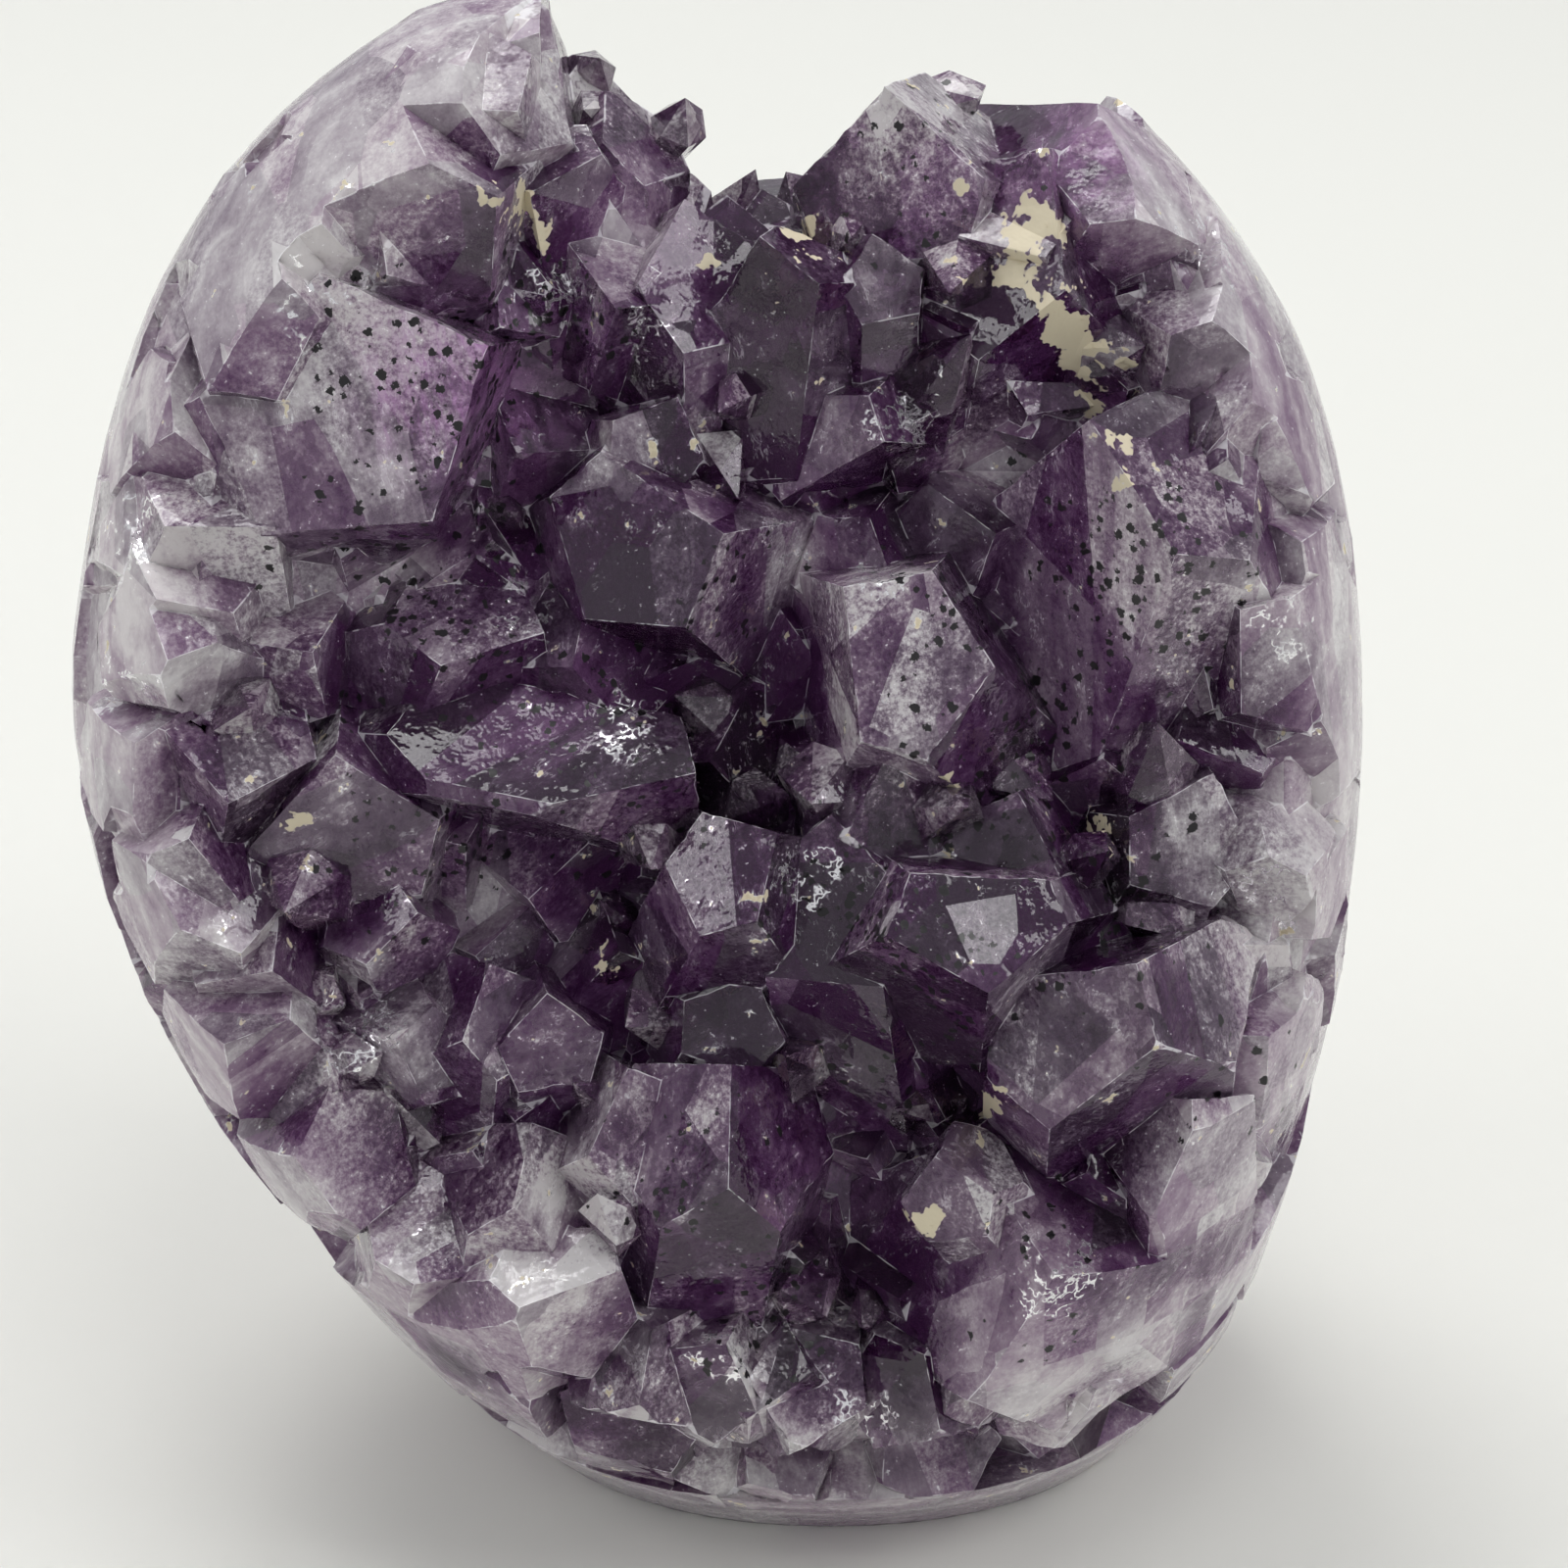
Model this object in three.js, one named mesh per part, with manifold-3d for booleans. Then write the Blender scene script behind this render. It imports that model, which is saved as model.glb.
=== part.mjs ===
import * as THREE from "three";
import { mergeVertices } from "three/addons/utils/BufferGeometryUtils.js";
import Module from "manifold-3d";

// A cut base amethyst cluster, in millimetres, +Z up, its crystal front turned to -Y.
// One stone: a wall of quartz, crystals grown out of its front and along its crest, the sides and
// the back ground and polished to one rounded outside, and a flat sawn base.

// The polished outside, as its reach at each height, measured from the middle of the face:
// height, left, right, front, the depth of its widest line, and back.
const OUTSIDE = [
  [-16, 4, 4, 0, 0, 0],
  [-12, -16, 26, -16, 0, 15],
  [0, -28, 37, -25, 0, 23],
  [12, -36.5, 43.5, -35.5, 0, 29],
  [25, -45, 48, -43, 0, 33],
  [50, -58.5, 52, -49.5, 0, 37],
  [75, -64.4, 52.6, -48, 0, 38],
  [95, -62, 50.5, -39, 3, 37.5],
  [110, -57.3, 45.6, -31, 5, 36],
  [120, -52, 39.3, -24, 6.5, 33.5],
  [128, -45.5, 32, -17, 7.5, 29.5],
  [134, -38, 23, -10, 8.2, 24.5],
  [138.5, -30, 10, -4, 9, 18],
  [140, -15, -10, 7, 9, 11],
];
const PLAN_ROUNDNESS = 2.15;
const OUTSIDE_SIDES = 56;
const OUTSIDE_RINGS = 30;

// The crystal face leans back, and its crystals are placed in its own frame: u to the right, v up
// the face and w straight out of it.
const FACE_LEAN = 30;
const FACE_MIDDLE = [0, -25, 82];

// Quartz: the end faces slope this far from the crystal's length, three large and three small.
const END_FACE_SLOPE = 51.8;
const SMALL_FACE_SETBACK = 0.34;
const CRYSTAL_LENGTH = 34;

// The wall of quartz behind the crystals stands back from the polished outside, down to a foot, and
// is hollowed in front by a shallow dish.
const WALL_STANDS_BACK = 9;
const FOOT_HEIGHT = 11;
const DISH_MIDDLE = [-1, -12, 4];
const DISH_REACH = [55, 112, 20];
const DISH_TIP = 9;
const DISH_SIDES = 40;
const DISH_RINGS = 28;
const POLISH_DEPTH = 2;

// The gap in the crest between its two shoulders, as u and v on the face.
const CREST_GAP = [
  [-21.5, 90],
  [-20.5, 60],
  [-17, 53],
  [-12, 46],
  [0, 42],
  [10, 45],
  [18, 47],
  [24, 49],
  [28, 52],
  [31, 54],
  [33, 90],
];

// The large crystals: tip u, v and w, how far the crystal leans from straight out and the way that
// it leans, the way that its first large end face looks, and the reach of its six sides.
const LARGE = [
  [25.5, 30.5, 6, 44, 129, 240, [20.5, 11.5, 10, 14, 14, 23]],
  [8.5, -12.5, 8, 29, 189, 262, [14, 8.5, 10, 5, 10, 17]],
  [29.5, -15, 5, 32, 93, 227, [11, 6, 9.5, 14, 14, 11.5]],
  [24.5, -44, -1.5, 8, 330, 62, [12, 14.5, 17, 13, 16, 14]],
  [-2, 46, 4, 43, 130, 262, [13, 5.5, 5, 3, 9, 12]],
  [5, 16.5, 5, 40, 141, 205, [18, 11, 9, 6.5, 10, 18]],
  [-5, 21, 5, 23, 17, 316, [12, 12, 12, 11.5, 9.5, 7.5]],
  [8.5, 29, 2, 27, 307, 285, [16, 15, 10, 3.5, 10, 10]],
  [8.5, 59, 2, 45, 110, 262, [9, 10, 10, 10, 10, 10]],
  [22, 53.5, 4, 42, 82, 220, [11, 10.5, 12.5, 12, 12, 8.5]],
  [-24.5, 36.5, 7, 44, 20, 206, [15, 13, 9, 10, 12, 13]],
  [-26, 51, 0, 44, 93, 252, [5, 9, 8, 12, 9, 5]],
  [-7.5, 1, 0, 44, 357, 255, [6.5, 6.5, 9, 5, 15, 17]],
  [-38, 2.5, 1, 22, 100, 275, [9, 9, 9, 6.5, 12.5, 10.5]],
  [-33.5, -22, -4, 10, 166, 227, [15, 6, 9, 4, 9, 14]],
  [-14, -42, -6, 44, 14, 260, [8, 12, 8, 4, 6.5, 8]],
  [15.5, 40, 0, 35, 162, 233, [15, 8.5, 8, 5.5, 9, 18]],
];

// Crystals along the rim, where the polish took tips off: u and v, how far the tip stood past the
// polish, and then as above with one width.
const RIM = [
  [-31, 62, 8, 15, 110, 10, 22],
  [-36, 54, 7, 15, 130, 40, 24],
  [-45, 45, 5, 15, 145, 70, 20],
  [-53, 31, 3, 15, 160, 20, 17],
  [-55, 16, 3, 20, 170, 50, 15],
  [-57, 2, 4, 15, 180, 100, 14],
  [-54, -11, 4, 20, 195, 30, 15],
  [-50, -23, 4, 20, 205, 80, 14],
  [-43, -34, 4, 20, 215, 10, 15],
  [-35, -44, 4, 30, 225, 60, 16],
  [-25, -51, 3, 30, 240, 90, 14],
  [-13, -56, 2, 35, 260, 20, 14],
  [1, -59, 1, 40, 270, 70, 13],
  [14, -58, 1, 35, 290, 40, 13],
  [26, -55, 0, 30, 310, 100, 12],
  [37, -40, -1, 25, 330, 20, 9],
  [39, -32, -1.5, 25, 20, 50, 15],
  [45, -22, 3, 15, 350, 10, 11],
  [47, -8, 2, 15, 0, 90, 11],
  [47, 6, 2, 15, 10, 30, 11],
  [45, 20, 2, 15, 20, 80, 12],
  [41, 34, 3, 20, 40, 50, 14],
  [38, 43, 2, 15, 40, 20, 14],
];

// The crystals of middling size, as above with one width.
const SMALLER = [
  [-9, 33, 0, 45, 60, 10, 10],
  [-12, 40.5, -4, 50, 90, 30, 8],
  [-8.5, 50, -2, 60, 90, 60, 16],
  [-16, 51, -4, 60, 95, 45, 12],
  [-15.5, 60.5, -6, 70, 92, 90, 12],
  [-17.5, 64.5, -12, 70, 75, 60, 14],
  [-10, 55, -10, 75, 85, 40, 8],
  [-5, 51.5, -8, 70, 90, 30, 10],
  [-2, 53, -14, 75, 90, 60, 9],
  [7.5, 46.5, 2, 50, 90, 50, 9],
  [-28, 25.5, -8, 35, 30, 20, 16],
  [-26.5, 26, -6, 55, 100, 90, 12],
  [-20.5, 13, -2, 50, 10, 20, 16],
  [-13, 4, -4, 50, 310, 70, 14],
  [-41, 20.5, -6, 50, 10, 30, 17],
  [-31.5, -11, -4, 30, 20, 50, 11],
  [-40.5, -8.5, -9, 40, 30, 60, 16],
  [-48.5, 1, -10, 45, 20, 30, 12],
  [-0.5, -4, 2, 40, 60, 80, 13],
  [4, -2.5, 0, 45, 100, 20, 18],
  [8.5, 2, 0, 40, 80, 60, 12],
  [20, -0.5, -2, 50, 90, 0, 15],
  [-20.5, -18, -6, 35, 80, 40, 11],
  [-25.5, -15.5, -6, 45, 80, 70, 12],
  [-2.5, -16.5, -5, 40, 60, 10, 11],
  [35, -27, -3, 40, 95, 90, 13],
  [13, -32, -4, 40, 130, 30, 10],
  [37, 1, -4, 45, 60, 20, 14],
  [42.5, 0, -8, 40, 20, 60, 14],
  [37.5, 38, -2, 60, 75, 90, 20],
  [39, 25.5, -3, 50, 60, 30, 11],
  [44.5, 20.5, -8, 40, 0, 50, 10],
  [42.5, 8.5, -8, 40, 30, 80, 16],
  [34, 48.5, -4, 60, 60, 60, 14],
  [26.5, 54.5, -6, 70, 90, 60, 8],
  [-22, -29.5, -8, 55, 80, 80, 13],
  [-4.5, -24, -3, 45, 80, 90, 18],
  [-13.5, -24.5, -6, 45, 95, 60, 14],
  [2, -42.5, -13, 35, 350, 70, 14],
  [-5, -49, -10, 20, 60, 0, 13],
  [2.5, -52, -12, 30, 10, 40, 12],
];

// Small crystals fill the rest: the corners of their field, their spacing and how far they stray
// from it, how far their tips stand off the wall, how strongly they turn to the front and how far
// they lean at random, and their width.
const FILL_FROM = [-62, -70];
const FILL_TO = [54, 66];
const FILL_STEP = 10.5;
const FILL_STRAYS = 2;
const FILL_STANDS = [4, 8.5];
const FILL_TURNS_OUT = 0.6;
const FILL_LEANS = 0.45;
const FILL_WIDTH = [10, 16];

// A distance that is clear of the stone, in front of the face.
const CLEAR = 100;

const wasm = await Module();
wasm.setup();

const radians = THREE.MathUtils.degToRad;

// A closed three.js geometry as a solid that can be joined and cut.
function solid(geometry) {
  const bare = geometry.clone();
  bare.deleteAttribute("normal");
  bare.deleteAttribute("uv");
  const merged = mergeVertices(bare, 1e-4);
  return new wasm.Manifold(
    new wasm.Mesh({
      numProp: 3,
      vertProperties: merged.getAttribute("position").array,
      triVerts: new Uint32Array(merged.index.array),
    }),
  );
}

// A rounded closed form that follows rows of reach, with its plan squared off by the given power.
function rounded(rows, power) {
  const sides = new THREE.CatmullRomCurve3(
    rows.map(([z, left, right]) => new THREE.Vector3(left, right, z)),
    false,
    "catmullrom",
  );
  const depths = new THREE.CatmullRomCurve3(
    rows.map(([z, , , front, widest, back]) => new THREE.Vector3(front, widest, back)),
    false,
    "catmullrom",
  );
  const ball = new THREE.SphereGeometry(1, OUTSIDE_SIDES, OUTSIDE_RINGS);
  const place = ball.getAttribute("position");
  const soften = (q) => Math.sign(q) * Math.abs(q) ** (2 / power);
  for (let i = 0; i < place.count; i += 1) {
    const latitude = 1 - Math.acos(THREE.MathUtils.clamp(place.getY(i), -1, 1)) / Math.PI;
    const turn = Math.atan2(place.getZ(i), place.getX(i));
    const [left, right, z] = sides.getPoint(latitude).toArray();
    const [front, widest, back] = depths.getPoint(latitude).toArray();
    const atPole = latitude < 1e-6 || latitude > 1 - 1e-6;
    const across = atPole ? 0 : soften(Math.cos(turn));
    const deep = atPole ? 0 : soften(Math.sin(turn));
    const x = (left + right) / 2 + (across * (right - left)) / 2;
    const y = widest + (deep > 0 ? deep * (front - widest) : -deep * (back - widest));
    place.setXYZ(i, x, y, z);
  }
  return solid(ball);
}

// From the face's frame to the stone's, and back.
const toStone = new THREE.Matrix4()
  .makeTranslation(...FACE_MIDDLE)
  .multiply(new THREE.Matrix4().makeRotationX(Math.PI / 2 - radians(FACE_LEAN)));
const toFace = toStone.clone().invert();

// Cuts a solid by a plane, given by the way that it looks and its distance from the origin.
function trim(body, looks, distance) {
  return body.trimByPlane([-looks.x, -looks.y, -looks.z], -distance);
}

// One quartz crystal: a six-sided prism with three large and three small end faces at its tip.
function crystal([u, v, w, lean, way, looks, width]) {
  const reach = Array.isArray(width) ? width : Array(6).fill(width / 2);
  const widest = 3 * Math.max(...reach);
  const usual = reach.reduce((sum, side) => sum + side, 0) / 3;
  const prism = new THREE.CylinderGeometry(widest, widest, CRYSTAL_LENGTH * 2, 6);
  prism.rotateX(Math.PI / 2);
  let body = solid(prism);
  const slope = radians(END_FACE_SLOPE);
  for (let k = 0; k < 6; k += 1) {
    const round = radians(60 * k);
    const side = new THREE.Vector3(Math.cos(round), Math.sin(round), 0);
    const end = side.clone().multiplyScalar(Math.sin(slope)).setZ(Math.cos(slope));
    const setback = k % 2 === 0 ? 0 : usual * SMALL_FACE_SETBACK * Math.cos(slope);
    body = trim(trim(body, side, reach[k]), end, setback);
  }
  const turned = new THREE.Matrix4()
    .makeTranslation(u, v, w)
    .multiply(new THREE.Matrix4().makeRotationZ(radians(way)))
    .multiply(new THREE.Matrix4().makeRotationY(radians(lean)))
    .multiply(new THREE.Matrix4().makeRotationZ(radians(looks - way)));
  return body.transform(toStone.clone().multiply(turned).toArray());
}

// The wall before it is polished: the outside with some stone left on it, the dish and the gap.
function wall() {
  const rows = OUTSIDE.map(([z, left, right, front, widest, back]) => [
    z,
    left - POLISH_DEPTH,
    right + POLISH_DEPTH,
    front - POLISH_DEPTH,
    widest,
    back + POLISH_DEPTH,
  ]);
  const dish = new THREE.SphereGeometry(1, DISH_SIDES, DISH_RINGS);
  dish.scale(...DISH_REACH);
  dish.rotateX(radians(DISH_TIP));
  dish.translate(...DISH_MIDDLE);
  dish.applyMatrix4(toStone);
  const gap = new THREE.Shape(CREST_GAP.map(([u, v]) => new THREE.Vector2(u, v)));
  const cutter = new THREE.ExtrudeGeometry(gap, { depth: 2 * CLEAR, bevelEnabled: false });
  cutter.translate(0, 0, -CLEAR);
  cutter.applyMatrix4(toStone);
  const block = rounded(rows, PLAN_ROUNDNESS);
  const stoodBack = block.translate(0, WALL_STANDS_BACK, 0);
  const foot = trim(block, new THREE.Vector3(0, 0, 1), FOOT_HEIGHT);
  return stoodBack.add(foot).subtract(solid(dish)).subtract(solid(cutter));
}

// Numbers of chance between 0 and 1, the same ones each time.
function chances(seed) {
  let state = seed;
  return () => {
    state = (state * 1664525 + 1013904223) % 2 ** 32;
    return state / 2 ** 32;
  };
}

// Where a line straight into the face first meets a surface.
function meets(surface, u, v) {
  const from = new THREE.Vector3(u, v, CLEAR).applyMatrix4(toStone);
  const inward = new THREE.Vector3(0, 0, -1).transformDirection(toStone);
  return new THREE.Raycaster(from, inward).intersectObject(surface)[0];
}

// The rim's crystals, their tips measured from the polish.
function rim(polish) {
  return RIM.map(([u, v, past, ...rest]) => {
    const { point } = meets(polish, u, v);
    return [u, v, point.clone().applyMatrix4(toFace).z + past, ...rest];
  });
}

// The small crystals that fill the wall between the others, in staggered rows: each one grows out
// between the wall's own way and straight out.
function fill(wallMesh) {
  const chance = chances(7);
  const between = (low, high) => low + (high - low) * chance();
  const stray = () => between(-FILL_STRAYS, FILL_STRAYS);
  const rowStep = (FILL_STEP * Math.sqrt(3)) / 2;
  const rows = [];
  let staggered = false;
  for (let v = FILL_FROM[1]; v < FILL_TO[1]; v += rowStep) {
    staggered = !staggered;
    const first = FILL_FROM[0] + (staggered ? FILL_STEP / 2 : 0);
    for (let u = first; u < FILL_TO[0]; u += FILL_STEP) {
      const hit = meets(wallMesh, u + stray(), v + stray());
      const sway = new THREE.Vector3(between(-1, 1), between(-1, 1), 0).multiplyScalar(FILL_LEANS);
      const stands = between(...FILL_STANDS);
      const looks = between(0, 120);
      const width = between(...FILL_WIDTH);
      if (hit === undefined) continue;
      const out = hit.face.normal.clone().transformDirection(toFace);
      out.setZ(out.z + FILL_TURNS_OUT).normalize().add(sway).normalize();
      const tip = hit.point.applyMatrix4(toFace).addScaledVector(out, stands);
      const lean = THREE.MathUtils.radToDeg(Math.acos(out.z));
      const way = THREE.MathUtils.radToDeg(Math.atan2(out.y, out.x));
      rows.push([...tip.toArray(), lean, way, looks, width]);
    }
  }
  return rows;
}

// The one outer skin of the stone: gaps closed in between crystals are filled by leaving out their
// own skins, and so are loose chips.
function outerSkin(body) {
  return body.decompose().reduce((most, skin) => (skin.volume() > most.volume() ? skin : most));
}

// Joins the crystals to the wall, polishes the outside and saws the base, then centres the stone.
function stone() {
  const outside = rounded(OUTSIDE, PLAN_ROUNDNESS);
  let body = wall();
  const edge = rim(new THREE.Mesh(meshFrom(outside)));
  const between = fill(new THREE.Mesh(meshFrom(body)));
  for (const row of [...LARGE, ...edge, ...SMALLER, ...between]) body = body.add(crystal(row));
  const polished = body.intersect(outside);
  const sawn = trim(polished, new THREE.Vector3(0, 0, -1), 0);
  const whole = outerSkin(sawn);
  const { min, max } = whole.boundingBox();
  return whole.translate(-(min[0] + max[0]) / 2, -(min[1] + max[1]) / 2, 0);
}

// A solid's surface as a three.js geometry.
function meshFrom(body) {
  const { vertProperties, triVerts } = body.getMesh();
  const geometry = new THREE.BufferGeometry();
  geometry.setAttribute("position", new THREE.BufferAttribute(vertProperties, 3));
  geometry.setIndex(new THREE.BufferAttribute(triVerts, 1));
  geometry.computeVertexNormals();
  return geometry;
}

const amethyst = new THREE.MeshStandardMaterial({
  color: 0x6b5577,
  roughness: 0.15,
  metalness: 0,
});

const cluster = new THREE.Mesh(meshFrom(stone()), amethyst);
cluster.name = "amethyst_cluster";

const part = new THREE.Group();
part.add(cluster);

export default part;
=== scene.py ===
# A cut base amethyst cluster on a plain pale floor: violet crystals with milky roots, dark specks and
# cream deposits, inside a ground and polished rim.
import math
import random

import bmesh
import bpy
import numpy as np
from mathutils import Matrix, Vector, kdtree, noise
from mathutils.bvhtree import BVHTree


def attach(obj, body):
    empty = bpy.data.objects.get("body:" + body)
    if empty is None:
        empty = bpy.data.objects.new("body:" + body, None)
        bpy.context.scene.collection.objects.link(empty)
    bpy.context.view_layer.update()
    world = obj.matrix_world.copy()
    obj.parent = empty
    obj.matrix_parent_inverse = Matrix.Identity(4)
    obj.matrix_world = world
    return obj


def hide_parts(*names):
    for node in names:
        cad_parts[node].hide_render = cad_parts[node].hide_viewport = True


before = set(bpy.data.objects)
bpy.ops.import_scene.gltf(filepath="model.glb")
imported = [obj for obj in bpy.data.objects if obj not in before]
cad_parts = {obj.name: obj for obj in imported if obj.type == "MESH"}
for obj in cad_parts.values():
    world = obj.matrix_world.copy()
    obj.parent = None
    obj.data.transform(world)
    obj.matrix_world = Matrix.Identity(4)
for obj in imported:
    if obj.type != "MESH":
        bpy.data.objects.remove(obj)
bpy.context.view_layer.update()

MM = 0.001
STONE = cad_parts["amethyst_cluster"]

# The crystal face: its middle, and how far it leans back. Places on it are given in millimetres as u
# to the right, v up the face and w straight out of it.
FACE_MIDDLE = Vector((5.885, -21.93, 82.0)) * MM
FACE_LEAN = math.radians(30)
FACE_UP = Vector((0, math.sin(FACE_LEAN), math.cos(FACE_LEAN)))
FACE_OUT = Vector((0, -math.cos(FACE_LEAN), math.sin(FACE_LEAN)))

# The camera looks straight at the face.
CAMERA_DISTANCE = 320 * MM
PHOTO_SIDE = 1600
PHOTO_FOCAL = 3840
SENSOR = 36

# The stone's surface is refined until its edges are about this long, finer on the crystals.
FINE_EDGE = 1.2 * MM
BACK_EDGE = 3.0 * MM
BACK_STARTS = 8 * MM
FINE_ROUNDS = 6
WELD = 0.002 * MM
FLAT = math.radians(0.6)
POLISHED_TURN = (math.radians(0.8), math.radians(14))
POLISHED_AREA = 40 * MM * MM
POLISH_ROUNDS = 8
SHARP = math.radians(12)

# The waves of the crystal faces.
WAVE_HEIGHT = 0.09 * MM
BROKEN_HEIGHT = 0.24 * MM
WAVE_SCALE = 230
# How deep the chips in their edges are, and how close.
CHIP_DEPTH = 0.7 * MM
CHIP_SCALE = 330

# Where quartz is milky: u, v, reach and strength. The spots along the bottom and right edge also lighten the
# rim with painted light, where light passes through it.
MILKY_AND_LIT = [
    (12, 53, 8, 0.55),
    (17, 13, 10, 0.3),
    (4, -12, 8, 0.15),
    (-33, 57, 13, 0.85),
    (-42, 50, 10, 0.8),
    (-24, 62, 9, 0.75),
    (-35, 49, 7, 1.0),
    (-39, 39, 10, 1.0),
    (-33, 31, 8, 0.8),
    (-46, 34, 9, 0.7),
    (-54, 28, 8, 0.9),
    (-56, 19, 9, 1.0),
    (-46, 17, 8, 0.85),
    (-57, 8, 8, 0.9),
    (-53, 2, 6, 0.6),
    (-42, 0, 6, 0.6),
    (-55, -6, 6, 0.8),
    (-52, -14, 7, 0.85),
    (-46, -16, 5, 0.6),
    (-37, -22, 9, 1.0),
    (-47, -25, 6, 0.7),
    (-30, -12, 5, 0.6),
    (-17, -22, 5, 0.7),
    (-20, -40, 7, 0.9),
    (-38, -33, 6, 0.6),
    (-15, -53, 6, 0.8),
    (-5, -50, 7, 0.85),
    (0, -56, 8, 0.95),
    (8, -58, 7, 0.85),
    (16, -58, 7, 0.75),
    (19, -42, 9, 0.65),
    (25, -45, 7, 0.8),
    (28, -51, 6, 0.7),
    (37, -38, 6, 0.8),
    (41, -8, 8, 1.0),
    (36, -3, 5, 0.8),
    (43, 16, 5, 0.8),
    (42, 38, 7, 0.8),
    (37, 47, 7, 1.0),
    (33, 53, 6, 0.7),
    (38, 33, 4, 0.8),
    (36, 27, 6, 0.75),
    (43, -17, 5, 0.7),
    (41, -28, 5, 0.6),
    (8, 17, 4, 0.8),
    (7, 5, 6, 0.45),
    (-13, 29, 4, 0.65),
    (-9, 28, 4, 0.5),
    (-14, 57, 6, 0.7),
    (-10, 52, 4, 0.5),
    # Painted light: these lighten the bottom and right edge of the rim, where light passes through it.
    (-5, -61, 7, 1.0),
    (10, -61, 7, 1.0),
    (24, -56, 7, 1.0),
    (33, -49, 6, 1.0),
    (42, -37, 6, 1.0),
    (47, -16, 6, 0.95),
    (49, 0, 6, 1.0),
    (48, 15, 6, 0.95),
]
# Clusters of dark iron-oxide specks.
SPECKED = [
    (22, 15, 10, 1.0),
    (25, -2, 9, 0.8),
    (9, -17, 8, 1.0),
    (27, -11, 7, 0.8),
    (-29, 31, 9, 1.0),
    (-23, 38, 7, 0.9),
    (-32, 15, 9, 1.0),
    (-31, -5, 6, 0.9),
    (-17, 1, 8, 0.7),
    (-3, 17, 5, 0.7),
    (24, -43, 6, 0.6),
    (-2, -47, 6, 0.7),
    (-8, -34, 6, 0.5),
    (12, 50, 7, 0.35),
    (2, -10, 6, 0.6),
    (38, -26, 6, 0.5),
    (27, 18, 9, 0.9),
    (14, 6, 5, 0.6),
]
# Cream deposits along edges.
DEPOSITS = [
    (20.5, 47, 2.4, 1.0),
    (20, 44, 2.6, 1.0),
    (22, 41, 2.4, 1.0),
    (23.5, 38.5, 2.0, 1.0),
    (25.5, 36, 2.0, 1.0),
    (26.5, 33.5, 1.5, 1.0),
    (23.5, 46, 1.5, 0.8),
    (1.2, 47, 1.6, 1.0),
    (1.8, 44, 1.2, 0.9),
    (-6.5, 45, 1.1, 0.8),
    (27.8, 28, 1.5, 1.0),
    (28.3, 25, 1.2, 0.8),
    (14.5, 49.5, 1.5, 0.8),
    (-23, 49, 2.0, 0.8),
    (-21, 46, 1.5, 0.7),
    (13, 36, 1.2, 0.6),
    (18, -28, 1.5, 0.8),
    (14, 0, 1.3, 0.9),
    (27, -4, 1.4, 0.8),
    (12, -38, 1.5, 0.9),
    (-42, -3, 1.6, 0.8),
    (-15, -16, 1.4, 0.6),
    (2, -24, 1.2, 0.7),
]
# White glints from fractures inside the crystals.
FRACTURED = [
    (-19.5, 42.5, 2.6, 1.0),
    (11, 31, 3.0, 1.0),
    (-12, 38, 1.8, 0.9),
    (-36, -22, 3.6, 1.0),
    (2.5, -7.5, 2.8, 1.0),
    (-13, 5, 2.2, 0.9),
    (-23, 15, 2.4, 0.8),
    (0, 21, 1.8, 0.9),
    (42, 13, 2.6, 0.9),
    (24, -43, 3.2, 1.0),
    (8, 17, 2.0, 1.0),
    (41, -10, 3.2, 0.7),
    (-55, 22, 3.4, 0.7),
    (-5, -50, 2.6, 0.8),
    (7, -57, 3.4, 0.8),
    (-38, 40, 4.0, 0.6),
    (36, 46, 3.4, 0.7),
    (-45, -30, 2.0, 0.7),
    (-56, 8, 2.6, 0.7),
]


# Facets that stand out from their neighbours: u, v, reach and tone. The light ones are partly painted
# highlight, where a facet catches the light.
FACET_TONES = [
    (-9, 14, 4, 0.85),
    (2, 18, 3, 0.95),
    (9, 16, 3, 0.9),
    (33, 8, 4, 0.95),
    (36, -14, 4, 0.8),
    (35, -19, 4, 0.8),
    (33, -32, 4, 0.75),
    (-19, -41, 5, 1.0),
    (-8, 24, 4, 0.7),
    (-6, 48, 4, 0.85),
    (-14, 27, 3, 0.9),
    (-12, 4, 5, 0.1),
    (22, 13, 8, 0.95),
    (-36, 31, 5, 0.5),
    (41, -6, 7, 0.95),
    (42, 13, 5, 0.9),
    (7, -17, 8, 0.2),
    (12, 53, 6, 0.8),
]
# Where the violet is brightest.
GLOWING = [(-27, 33, 7, 1.0), (24, 52, 5, 0.6), (-20, 6, 5, 0.4), (4, -36, 5, 0.4)]

# The gaps between crystals, darkened with painted shade.
SHADED_GAPS = [
    (6, -43, 6, 1.0),
    (3, -50, 5, 0.8),
    (11, -51, 4, 0.8),
    (-7, 2, 6, 0.45),
    (-20, -11, 9, 0.5),
    (-13, -17, 6, 0.5),
    (29, -3, 3, 0.9),
    (-2, -30, 5, 0.4),
]

# The outer skin is pale this far in from the polish.
PALE_RIM = 8 * MM
RIM_MILK = 0.8

# Behind the face, at the crest, the painted crevice shade darkens the crystals less: how much less, and how far
# behind.
CREST_LIGHT = 0.75
CREST_REACH = 15 * MM

# Small crystals between the large ones.
SMALL_TRIES = 1500
SMALL_KEEPS_IN = 8 * MM
HOLLOW_RISE = 1.6
# How much of the painted crevice shade the small crystals keep.
SMALL_CREVICE_SHADE = 0.4
SMALL_FACE = ((-66, 60), (-72, 72))
# The broad faces that carry none: u, v and reach.
SMALL_CLEAR = [(-32, 36, 14), (24, 20, 17), (22, -42, 15), (9, -18, 8), (29, -20, 8), (-6, 15, 8)]


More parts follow.
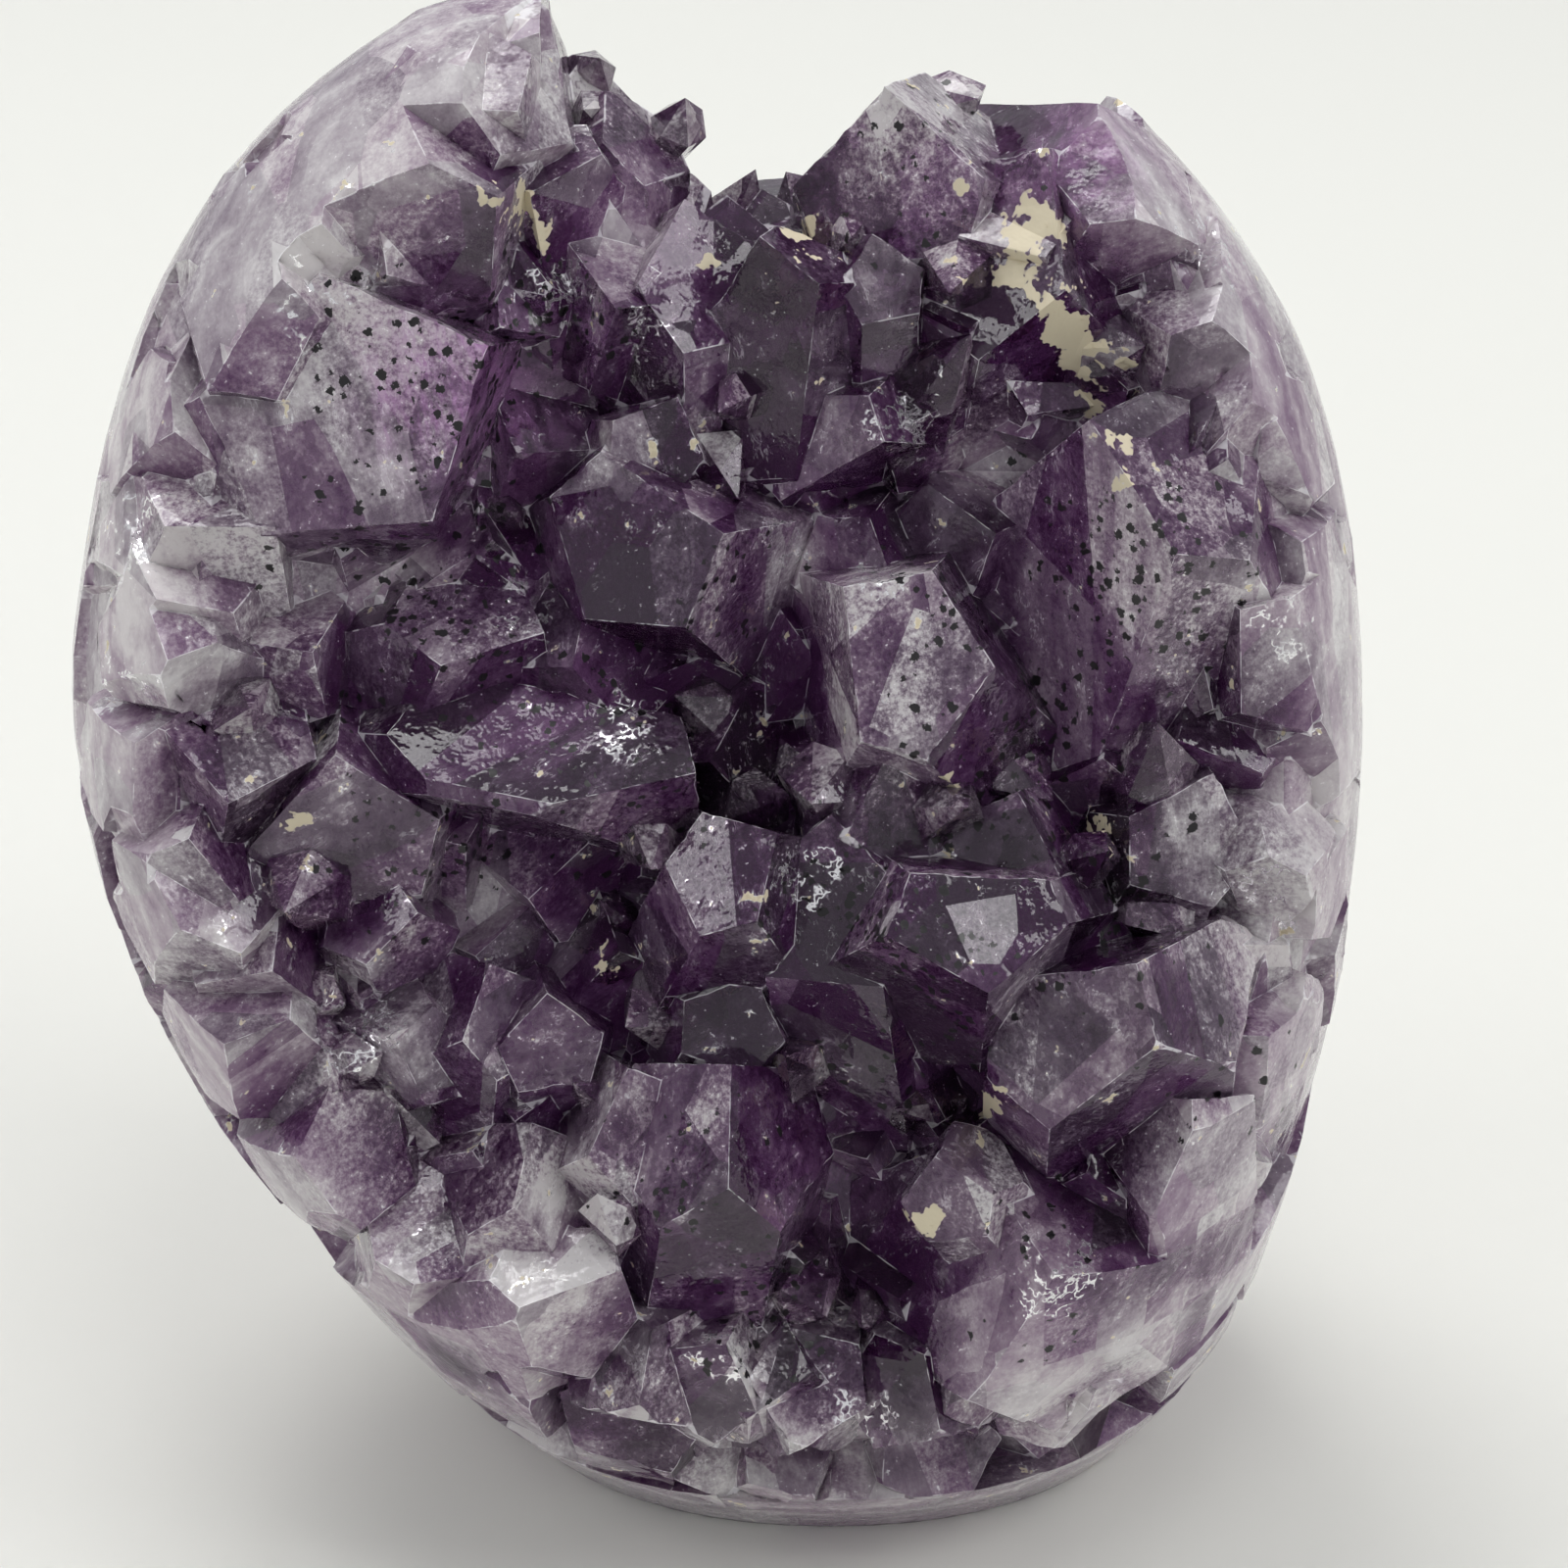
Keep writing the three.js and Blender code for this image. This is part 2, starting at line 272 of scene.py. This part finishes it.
def on_face(place):
    """The u, v and w of a place, in millimetres."""
    off = (place - FACE_MIDDLE) / MM
    return off.x, off.dot(FACE_UP), off.dot(FACE_OUT)


def from_face(u, v, w):
    """The place at u, v and w millimetres."""
    return FACE_MIDDLE + (Vector((u, 0, 0)) + FACE_UP * v + FACE_OUT * w) * MM


def spot(spots, u, v):
    """How strongly a place on the face lies in any of the spots."""
    most = 0.0
    for su, sv, reach, strength in spots:
        away = math.hypot(u - su, v - sv) / reach
        if away < 1.6:
            most = max(most, strength * min(1.0, 1.6 - away))
    return most


def facets(bm):
    """Welds the stone's triangles and joins those that lie in one plane, so each crystal face is one
    face with a tone of its own. The polished outside is the faces that turn gently into each other."""
    bmesh.ops.remove_doubles(bm, verts=bm.verts, dist=WELD)
    bmesh.ops.dissolve_limit(bm, angle_limit=FLAT, verts=bm.verts, edges=bm.edges)
    chance = random.Random(11)
    tone = bm.faces.layers.float.new("facet")
    polished = bm.faces.layers.float.new("polished")
    for face in bm.faces:
        face[tone] = chance.random()
        u, v, w = on_face(face.calc_center_median())
        # Listed facets take their given tone, the light ones partly as painted highlight.
        for fu, fv, reach, value in FACET_TONES:
            if math.hypot(u - fu, v - fv) < reach and face.normal.dot(FACE_OUT) > 0.3:
                face[tone] = value
    low, high = POLISHED_TURN
    for face in bm.faces:
        gentle = sum(low < edge.calc_face_angle(0.0) < high for edge in face.edges)
        at_base = max(vert.co.z for vert in face.verts) < 0.01 * MM
        small = face.calc_area() < POLISHED_AREA or face.normal.dot(FACE_OUT) < 0.3
        if gentle >= 2 and small or at_base:
            face[polished] = 1.0
            face[tone] = 0.5
    bmesh.ops.triangulate(bm, faces=bm.faces, ngon_method="BEAUTY")


def refine(bm):
    """Divides the long edges until the surface is fine, keeps the crystals' edges sharp, and rounds the
    polished outside."""
    polished = bm.faces.layers.float["polished"]
    for _ in range(FINE_ROUNDS):
        long_edges = []
        for edge in bm.edges:
            behind = min(vert.co.y for vert in edge.verts) > BACK_STARTS
            if edge.calc_length() > (BACK_EDGE if behind else FINE_EDGE):
                long_edges.append(edge)
        bmesh.ops.subdivide_edges(bm, edges=long_edges, cuts=1)
        bmesh.ops.triangulate(bm, faces=[f for f in bm.faces if len(f.verts) > 3])
    for edge in bm.edges:
        both_polished = all(face[polished] > 0.5 for face in edge.link_faces)
        edge.smooth = both_polished or edge.calc_face_angle(0.0) < SHARP
    for face in bm.faces:
        face.smooth = True
    round_verts = [
        v
        for v in bm.verts
        if all(f[polished] > 0.5 for f in v.link_faces) and v.co.z > 0.3 * MM
    ]
    for _ in range(POLISH_ROUNDS):
        bmesh.ops.smooth_vert(
            bm, verts=round_verts, factor=0.5, use_axis_x=True, use_axis_y=True, use_axis_z=True
        )


def crevice_depths(places):
    """How deep each place lies behind the tips around it, from 0 to 1."""
    cell, around, full = 2.0, 4, 14.0
    column = np.clip(((places[:, 0] + 80) / cell).astype(int), 0, 79)
    row = np.clip(((places[:, 1] + 80) / cell).astype(int), 0, 79)
    tips = np.full((80, 80), -60.0)
    np.maximum.at(tips, (column, row), places[:, 2])
    reach = tips.copy()
    for du in range(-around, around + 1):
        for dv in range(-around, around + 1):
            if du * du + dv * dv <= around * around:
                reach = np.maximum(reach, np.roll(tips, (du, dv), (0, 1)))
    return np.clip((reach[column, row] - places[:, 2]) / full, 0, 1)


def mark(bm, polish):
    """Writes where the stone is milky (with painted light along its bottom and right rim), specked, coated,
    fractured, glowing, on a sharp edge and polished, and how much painted shade darkens its crevices and gaps.
    The tree polish holds the points of the polished outside."""
    layers = {
        name: bm.verts.layers.float.new(name)
        for name in ("milky_and_lit", "specked", "coated", "fractured", "glow", "edge", "deep", "rim")
    }
    bm.verts.ensure_lookup_table()
    places = np.array([on_face(v.co) for v in bm.verts])
    depths = crevice_depths(places)
    for vert, (u, v, w), deep in zip(bm.verts, places, depths):
        front = 1.0 if vert.co.y < 20 * MM else 0.0
        rim = max(0.0, 1.0 - polish.find(vert.co)[2] / PALE_RIM)
        gap_shade = spot(SHADED_GAPS, u, v) * front
        deep *= 1 - CREST_LIGHT * min(1.0, max(0.0, vert.co.y / CREST_REACH))
        vert[layers["milky_and_lit"]] = max(spot(MILKY_AND_LIT, u, v) * front * (1 - gap_shade), rim * RIM_MILK)
        vert[layers["specked"]] = spot(SPECKED, u, v) * front
        vert[layers["coated"]] = spot(DEPOSITS, u, v) * front
        vert[layers["fractured"]] = spot(FRACTURED, u, v) * front
        vert[layers["glow"]] = spot(GLOWING, u, v) * front
        # Painted shade: crevices and gaps are darkened, but not on the polished rim.
        vert[layers["deep"]] = max(deep, gap_shade) * (1 - rim)
        vert[layers["rim"]] = rim
        vert[layers["edge"]] = float(any(not edge.smooth for edge in vert.link_edges))


def roughen(bm):
    """Gives the crystal faces their slight waves, stronger where the quartz is milky and broken and where the
    rim has painted light, and chips the crystals' edges."""
    milky_and_lit = bm.verts.layers.float["milky_and_lit"]
    edged = bm.verts.layers.float["edge"]
    polished = bm.faces.layers.float["polished"]
    bm.normal_update()
    moves = []
    for vert in bm.verts:
        if vert.co.z < 0.3 * MM or any(face[polished] > 0.5 for face in vert.link_faces):
            continue
        size = WAVE_HEIGHT + BROKEN_HEIGHT * vert[milky_and_lit]
        wave = noise.noise(vert.co * WAVE_SCALE) + 0.5 * noise.noise(vert.co * WAVE_SCALE * 2.3)
        move = vert.normal * (size * wave)
        if vert[edged] > 0.5:
            chip = noise.noise(vert.co * CHIP_SCALE) + 0.4 * noise.noise(vert.co * CHIP_SCALE * 2.7)
            move -= vert.normal * (CHIP_DEPTH * max(0.0, chip - 0.15))
        moves.append((vert, move))
    for vert, move in moves:
        vert.co += move


def as_object(bm, name):
    mesh = bpy.data.meshes.new(name)
    bm.to_mesh(mesh)
    bm.free()
    piece = bpy.data.objects.new(name, mesh)
    bpy.context.scene.collection.objects.link(piece)
    return piece


def build_stone():
    """The stone itself, from the node's own shape, and the tree of its polished points."""
    bm = bmesh.new()
    bm.from_mesh(STONE.data)
    facets(bm)
    refine(bm)
    polished = bm.faces.layers.float["polished"]
    polished_verts = [v for v in bm.verts if all(f[polished] > 0.5 for f in v.link_faces)]
    polish = kdtree.KDTree(len(polished_verts))
    for place, vert in enumerate(polished_verts):
        polish.insert(vert.co, place)
    polish.balance()
    mark(bm, polish)
    roughen(bm)
    tree = BVHTree.FromBMesh(bm)
    return as_object(bm, "amethyst_stone"), tree, polish


def small_crystal(bm, width, length, chance):
    """A six-sided crystal with a slanted point, standing along +Z with its root at the origin."""
    point = width * chance.uniform(0.45, 0.8)
    shaft = bmesh.ops.create_cone(
        bm,
        cap_ends=True,
        segments=6,
        radius1=width * 0.5,
        radius2=width * chance.uniform(0.42, 0.5),
        depth=length,
        matrix=Matrix.Translation((0, 0, length / 2)),
    )["verts"]
    top = [v for v in shaft if v.co.z > length / 2]
    cap = next(f for f in top[0].link_faces if len(f.verts) == 6 and all(v in top for v in f.verts))
    tip = bmesh.ops.poke(bm, faces=[cap])["verts"]
    shift = Vector((chance.uniform(-0.25, 0.25) * width, chance.uniform(-0.25, 0.25) * width, point))
    tip[0].co += shift
    for vert in top:
        vert.co.z += chance.uniform(-0.3, 0.3) * width
    return shaft + tip


def build_small_crystals(tree, polish):
    """The small crystals that crowd the hollows between the large ones."""
    bm = bmesh.new()
    chance = random.Random(5)
    (u0, u1), (v0, v1) = SMALL_FACE
    taken = []
    for _ in range(SMALL_TRIES):
        u, v = chance.uniform(u0, u1), chance.uniform(v0, v1)
        away = Vector((chance.uniform(-1, 1), chance.uniform(-1, 1), chance.uniform(-1, 1)))
        size, turn = chance.random(), chance.uniform(0, math.tau)
        place, normal, _, _ = tree.ray_cast(from_face(u, v, 90), -FACE_OUT)
        if place is None or place.z < 8 * MM or polish.find(place)[2] < SMALL_KEEPS_IN:
            continue
        if any(math.hypot(u - cu, v - cv) < reach for cu, cv, reach in SMALL_CLEAR):
            continue
        w = on_face(place)[2]
        nearby = [
            tree.ray_cast(from_face(u + du, v + dv, 90), -FACE_OUT)[0]
            for du, dv in ((6, 0), (-6, 0), (0, 6), (0, -6), (4, 4), (-4, 4), (4, -4), (-4, -4))
        ]
        rises = [on_face(p)[2] - w for p in nearby if p is not None]
        if not rises or sum(rises) / len(rises) < HOLLOW_RISE:
            continue
        width = (4.5 + 5.0 * size) * MM
        if any((place - other).length < (width + reach) * 0.5 for other, reach in taken):
            continue
        taken.append((place.copy(), width))
        along = (FACE_OUT + normal * 0.7 + away * 0.6).normalized()
        stand = along.to_track_quat("Z", "Y").to_matrix().to_4x4() @ Matrix.Rotation(turn, 4, "Z")
        root = Matrix.Translation(place - along * width * 1.0)
        verts = small_crystal(bm, width, width * (0.75 + 0.5 * chance.random()), chance)
        bmesh.ops.transform(bm, matrix=root @ stand, verts=verts)
    tone = bm.faces.layers.float.new("facet")
    polished = bm.faces.layers.float.new("polished")
    for face in bm.faces:
        face[tone] = chance.random()
        face[polished] = 0.0
    bmesh.ops.triangulate(bm, faces=bm.faces)
    for edge in bm.edges:
        edge.smooth = edge.calc_face_angle(0.0) < SHARP
    mark(bm, polish)
    deep, edged = bm.verts.layers.float["deep"], bm.verts.layers.float["edge"]
    for vert in bm.verts:
        vert[deep] *= SMALL_CREVICE_SHADE
        vert[edged] = 0.0
    return as_object(bm, "small_crystals")


def stage():
    """The pale floor, the soft lights and the camera."""
    bm = bmesh.new()
    bmesh.ops.create_grid(bm, x_segments=1, y_segments=1, size=3)
    mesh = bpy.data.meshes.new("floor")
    bm.to_mesh(mesh)
    bm.free()
    floor = bpy.data.objects.new("floor", mesh)
    bpy.context.scene.collection.objects.link(floor)
    paint = bpy.data.materials.new("pale_floor")
    paint.use_nodes = True
    shader = paint.node_tree.nodes["Principled BSDF"]
    shader.inputs["Base Color"].default_value = (0.80, 0.80, 0.755, 1)
    shader.inputs["Roughness"].default_value = 0.85
    shader.inputs["Specular IOR Level"].default_value = 0.2
    mesh.materials.append(paint)

    world = bpy.data.worlds.new("studio")
    world.use_nodes = True
    world.node_tree.nodes["Background"].inputs["Color"].default_value = (0.97, 0.98, 1.0, 1)
    world.node_tree.nodes["Background"].inputs["Strength"].default_value = 0.58
    bpy.context.scene.world = world

    def softbox(name, turn, height, away, size, watts):
        """A square lamp aimed at the stone: turn is measured from the camera's side, to the right."""
        light = bpy.data.lights.new(name, "AREA")
        light.shape = "SQUARE"
        light.size = size
        light.energy = watts
        lamp = bpy.data.objects.new(name, light)
        turn, height = math.radians(turn), math.radians(height)
        side = Vector((math.sin(turn) * math.cos(height), -math.cos(turn) * math.cos(height), math.sin(height)))
        lamp.location = Vector((0, 0, 0.07)) + side * away
        lamp.rotation_euler = side.to_track_quat("Z", "Y").to_euler()
        bpy.context.scene.collection.objects.link(lamp)

    softbox("key_softbox", -152, 66, 1.0, 0.5, 4.0)
    softbox("left_softbox", -80, 38, 1.0, 0.3, 1.0)
    softbox("right_softbox", 74, 42, 1.0, 0.4, 2.3)
    softbox("front_softbox", 15, 76, 1.0, 0.26, 1.0)

    lens = bpy.data.cameras.new("camera")
    lens.sensor_width = SENSOR
    lens.lens = PHOTO_FOCAL * SENSOR / PHOTO_SIDE
    lens.clip_start = 0.01
    camera = bpy.data.objects.new("camera", lens)
    camera.location = FACE_MIDDLE + FACE_OUT * CAMERA_DISTANCE
    camera.rotation_euler = (-FACE_OUT).to_track_quat("-Z", "Y").to_euler()
    bpy.context.scene.collection.objects.link(camera)
    bpy.context.scene.camera = camera


class Nodes:
    """Short calls for building a material's nodes."""

    def __init__(self, name):
        self.material = bpy.data.materials.new(name)
        self.material.use_nodes = True
        self.tree = self.material.node_tree
        self.shader = self.tree.nodes["Principled BSDF"]
        self.output = self.tree.nodes["Material Output"]
        self.place = self.add("ShaderNodeTexCoord").outputs["Object"]

    def add(self, kind, **settings):
        node = self.tree.nodes.new(kind)
        for key, value in settings.items():
            setattr(node, key, value)
        return node

    def link(self, source, socket):
        if isinstance(source, (int, float, tuple)):
            socket.default_value = source
        else:
            self.tree.links.new(source, socket)

    def attribute(self, name):
        return self.add("ShaderNodeAttribute", attribute_name=name).outputs["Fac"]

    def noise(self, scale, detail=3.0, roughness=0.55, place=None):
        node = self.add("ShaderNodeTexNoise")
        self.link(place or self.place, node.inputs["Vector"])
        node.inputs["Scale"].default_value = scale
        node.inputs["Detail"].default_value = detail
        node.inputs["Roughness"].default_value = roughness
        return node.outputs["Fac"]

    def math(self, operation, a, b=0.0, clamp=False):
        node = self.add("ShaderNodeMath", operation=operation, use_clamp=clamp)
        self.link(a, node.inputs[0])
        self.link(b, node.inputs[1])
        return node.outputs[0]

    def span(self, value, low, high, to_low=0.0, to_high=1.0):
        node = self.add("ShaderNodeMapRange", interpolation_type="SMOOTHSTEP")
        self.link(value, node.inputs["Value"])
        node.inputs["From Min"].default_value = low
        node.inputs["From Max"].default_value = high
        node.inputs["To Min"].default_value = to_low
        node.inputs["To Max"].default_value = to_high
        return node.outputs["Result"]

    def mix(self, share, a, b):
        node = self.add("ShaderNodeMix", data_type="RGBA")
        self.link(share, node.inputs["Factor"])
        self.link(a, node.inputs[6])
        self.link(b, node.inputs[7])
        return node.outputs[2]

    def blend(self, share, a, b):
        node = self.add("ShaderNodeMix", data_type="FLOAT")
        self.link(share, node.inputs["Factor"])
        self.link(a, node.inputs[2])
        self.link(b, node.inputs[3])
        return node.outputs[0]


# The stone's tones from the deepest violet to milk, each at its place on the scale of tones.
TONES = [
    (0.00, (0.058, 0.023, 0.063, 1)),
    (0.25, (0.150, 0.080, 0.161, 1)),
    (0.50, (0.304, 0.217, 0.304, 1)),
    (0.75, (0.515, 0.448, 0.500, 1)),
    (1.00, (0.780, 0.745, 0.752, 1)),
]
GLOW = (0.50, 0.22, 0.52, 1)
SPECK = (0.012, 0.010, 0.012, 1)
CREAM = (0.640, 0.570, 0.420, 1)
WHITE = (0.900, 0.890, 0.910, 1)


def amethyst():
    """Clear violet quartz with milky clouds, specks, deposits, fractures, and pale edge lines that are partly
    wear and partly painted highlight.
    """
    n = Nodes("amethyst")
    milky_and_lit = n.attribute("milky_and_lit")
    deep = n.attribute("deep")
    facet = n.attribute("facet")
    rim = n.attribute("rim")

    # Each face looks into the crystal at its own angle, so the inner structure is turned for each.
    turned = n.add("ShaderNodeVectorRotate", rotation_type="AXIS_ANGLE")
    n.link(n.place, turned.inputs["Vector"])
    turned.inputs["Axis"].default_value = (0.36, 0.48, 0.8)
    n.link(n.math("MULTIPLY", facet, 40.0), turned.inputs["Angle"])
    stretched = n.add("ShaderNodeMapping")
    n.link(turned.outputs[0], stretched.inputs["Vector"])
    stretched.inputs["Scale"].default_value = (1, 1, 0.3)
    inner = stretched.outputs[0]

    clouds = n.noise(80, 3, 0.62)
    mottle = n.noise(330, 3, 0.66)
    streaks = n.noise(430, 4, 0.72, inner)
    fine = n.noise(1800, 2, 0.8)
    planes = n.add("ShaderNodeTexVoronoi")
    n.link(inner, planes.inputs["Vector"])
    planes.inputs["Scale"].default_value = 150
    plane = n.add("ShaderNodeSeparateColor")
    n.link(planes.outputs["Color"], plane.inputs[0])

    # The wall's layers, which lie along the crystal face, show where it is polished.
    layer = n.add("ShaderNodeVectorMath", operation="DOT_PRODUCT")
    n.link(n.place, layer.inputs[0])
    layer.inputs[1].default_value = tuple(FACE_OUT)
    bands = n.add("ShaderNodeTexNoise", noise_dimensions="1D")
    n.link(n.math("ADD", layer.outputs["Value"], n.math("MULTIPLY", clouds, 0.014)), bands.inputs["W"])
    bands.inputs["Scale"].default_value = 400
    bands.inputs["Detail"].default_value = 3

    inside = n.math("SUBTRACT", 1.0, n.math("MULTIPLY", rim, 0.6))
    tone = n.math("MULTIPLY", n.math("SUBTRACT", clouds, 0.5), 1.15)
    tone = n.math("ADD", tone, n.math("MULTIPLY", n.math("SUBTRACT", mottle, 0.5), 0.7))
    tone = n.math("ADD", tone, n.math("MULTIPLY", n.math("SUBTRACT", streaks, 0.5), 0.95))
    # Some patches are frosty with fine fractures and others clear.
    frosty = n.span(plane.outputs[1], 0.25, 0.8, 0.5, 1.5)
    tone = n.math("ADD", tone, n.math("MULTIPLY", n.math("SUBTRACT", fine, 0.5), frosty))
    tone = n.math("ADD", tone, n.math("MULTIPLY", n.math("SUBTRACT", plane.outputs[0], 0.5), 0.45))
    tone = n.math("MULTIPLY", tone, inside)
    tone = n.math("ADD", tone, n.math("MULTIPLY", n.math("SUBTRACT", facet, 0.5), 0.42))
    # Painted shade darkens the crevices and the gaps between crystals.
    tone = n.math("SUBTRACT", tone, n.math("MULTIPLY", deep, 0.5))
    # Milky quartz is paler, and so is the bottom and right rim, where its paleness is painted light.
    tone = n.math("ADD", tone, n.math("MULTIPLY", milky_and_lit, 0.48))
    banded = n.math("MULTIPLY", n.math("SUBTRACT", bands.outputs["Fac"], 0.5), 0.5)
    tone = n.math("ADD", tone, n.math("MULTIPLY", rim, banded))
    tone = n.math("ADD", tone, 0.35, clamp=True)
    ramp = n.add("ShaderNodeValToRGB")
    n.link(tone, ramp.inputs["Fac"])
    stops = ramp.color_ramp.elements
    while len(stops) < len(TONES):
        stops.new(0.5)
    for stop, (position, color) in zip(stops, TONES):
        stop.position = position
        stop.color = color
    # Some patches are a cooler grey and others a fuller violet.
    tint = n.add("ShaderNodeHueSaturation")
    n.link(ramp.outputs["Color"], tint.inputs["Color"])
    n.link(n.span(plane.outputs[2], 0.4, 0.85, 1.3, 0.8), tint.inputs["Saturation"])
    color = tint.outputs["Color"]
    color = n.mix(n.math("MULTIPLY", n.attribute("glow"), n.span(streaks, 0.35, 0.7)), color, GLOW)

    # Crystal edges show as thin, broken, pale lines, partly wear and partly painted highlight where the edges
    # catch the light, and fine pale grains lie all over.
    edge_wear_and_highlight = n.math("MULTIPLY", n.span(n.attribute("edge"), 0.86, 0.95), n.span(mottle, 0.46, 0.56))
    grain = n.span(fine, 0.68, 0.73)
    hair = n.span(n.math("ABSOLUTE", n.math("SUBTRACT", streaks, 0.56)), 0.004, 0.014, 1.0, 0.0)
    hair = n.math("MULTIPLY", n.math("MULTIPLY", hair, n.span(mottle, 0.5, 0.6)), inside)
    pale = n.math("MAXIMUM", n.math("MULTIPLY", edge_wear_and_highlight, 0.65), n.math("MULTIPLY", grain, 0.55))
    pale = n.math("MAXIMUM", pale, n.math("MULTIPLY", hair, 0.3))
    color = n.mix(pale, color, WHITE)

    # Fingerprint inclusions are bright squiggles, where a noise crosses its middle.
    fold = n.math("ABSOLUTE", n.math("SUBTRACT", n.noise(720, 2, 0.6), 0.5))
    cracked = n.math("ADD", n.math("MULTIPLY", n.attribute("fractured"), 0.24), mottle)
    cracked = n.math("MULTIPLY", n.span(cracked, 0.63, 0.7), n.span(fold, 0.015, 0.05, 1.0, 0.0))
    color = n.mix(cracked, color, WHITE)

    # Iron-oxide specks, ragged and in crowds.
    specks = n.add("ShaderNodeTexVoronoi")
    n.link(n.place, specks.inputs["Vector"])
    specks.inputs["Scale"].default_value = 900
    chosen = n.add("ShaderNodeSeparateColor")
    n.link(specks.outputs["Color"], chosen.inputs[0])
    crowd = n.math("MULTIPLY", n.attribute("specked"), n.span(clouds, 0.4, 0.56))
    dotted = n.math("LESS_THAN", chosen.outputs[0], crowd)
    ragged = n.math("ADD", specks.outputs["Distance"], n.math("MULTIPLY", fine, 0.9))
    ragged = n.math("ADD", ragged, n.math("MULTIPLY", chosen.outputs[1], 0.4))
    dots = n.math("MULTIPLY", n.span(ragged, 0.9, 0.96, 1.0, 0.0), dotted)
    color = n.mix(dots, color, SPECK)

    crust = n.math("ADD", n.math("MULTIPLY", n.attribute("coated"), 0.26), mottle)
    crust = n.span(crust, 0.68, 0.71)
    color = n.mix(crust, color, CREAM)

    solid = n.math("MAXIMUM", n.math("MAXIMUM", dots, crust), n.math("MULTIPLY", cracked, 0.8))
    solid = n.math("MAXIMUM", solid, pale)
    clear = n.span(tone, 0.3, 0.95, 0.64, 0.36)
    clear = n.math("MULTIPLY", clear, n.math("SUBTRACT", 1.0, n.math("MULTIPLY", rim, 0.4)))
    clear = n.math("MULTIPLY", clear, n.math("SUBTRACT", 1.0, solid))
    rough = n.math("ADD", n.span(streaks, 0.4, 0.8, 0.03, 0.16), n.math("MULTIPLY", crust, 0.5))
    rough = n.math("ADD", rough, n.math("MULTIPLY", dots, 0.25))
    rough = n.math("ADD", rough, n.math("MULTIPLY", n.math("MAXIMUM", rim, cracked), 0.1))

    bump = n.add("ShaderNodeBump")
    bump.inputs["Strength"].default_value = 0.4
    bump.inputs["Distance"].default_value = 0.4 * MM
    n.link(mottle, bump.inputs["Height"])
    # The growth mosaic: patches of a face lean a little apart.
    lean = n.add("ShaderNodeVectorMath", operation="SUBTRACT")
    n.link(planes.outputs["Color"], lean.inputs[0])
    lean.inputs[1].default_value = (0.5, 0.5, 0.5)
    slight = n.add("ShaderNodeVectorMath", operation="SCALE")
    n.link(lean.outputs[0], slight.inputs[0])
    n.link(n.math("MULTIPLY", n.math("SUBTRACT", 1.0, rim), 0.22), slight.inputs["Scale"])
    leaned = n.add("ShaderNodeVectorMath", operation="ADD")
    n.link(bump.outputs["Normal"], leaned.inputs[0])
    n.link(slight.outputs[0], leaned.inputs[1])
    normal = n.add("ShaderNodeVectorMath", operation="NORMALIZE")
    n.link(leaned.outputs[0], normal.inputs[0])

    n.link(color, n.shader.inputs["Base Color"])
    n.link(rough, n.shader.inputs["Roughness"])
    n.link(clear, n.shader.inputs["Transmission Weight"])
    n.link(n.math("MULTIPLY", cracked, 0.85), n.shader.inputs["Metallic"])
    n.link(normal.outputs[0], n.shader.inputs["Normal"])
    n.shader.inputs["IOR"].default_value = 1.544
    n.shader.inputs["Specular IOR Level"].default_value = 0.36
    depth = n.add("ShaderNodeVolumeAbsorption")
    depth.inputs["Color"].default_value = (0.50, 0.37, 0.57, 1)
    depth.inputs["Density"].default_value = 38
    n.link(depth.outputs["Volume"], n.output.inputs["Volume"])
    return n.material


stage()
stone, surface, polish = build_stone()
small = build_small_crystals(surface, polish)
quartz = amethyst()
print("faces", len(stone.data.polygons), len(small.data.polygons))
for piece in (stone, small):
    piece.data.materials.append(quartz)
    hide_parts("amethyst_cluster")
    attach(piece, "root")

bpy.context.scene.view_settings.view_transform = "Standard"
cycles = bpy.context.scene.cycles
cycles.use_denoising = True
cycles.max_bounces = 6
cycles.diffuse_bounces = 3
cycles.glossy_bounces = 3
cycles.transmission_bounces = 5
cycles.adaptive_threshold = 0.1
cycles.adaptive_min_samples = 10
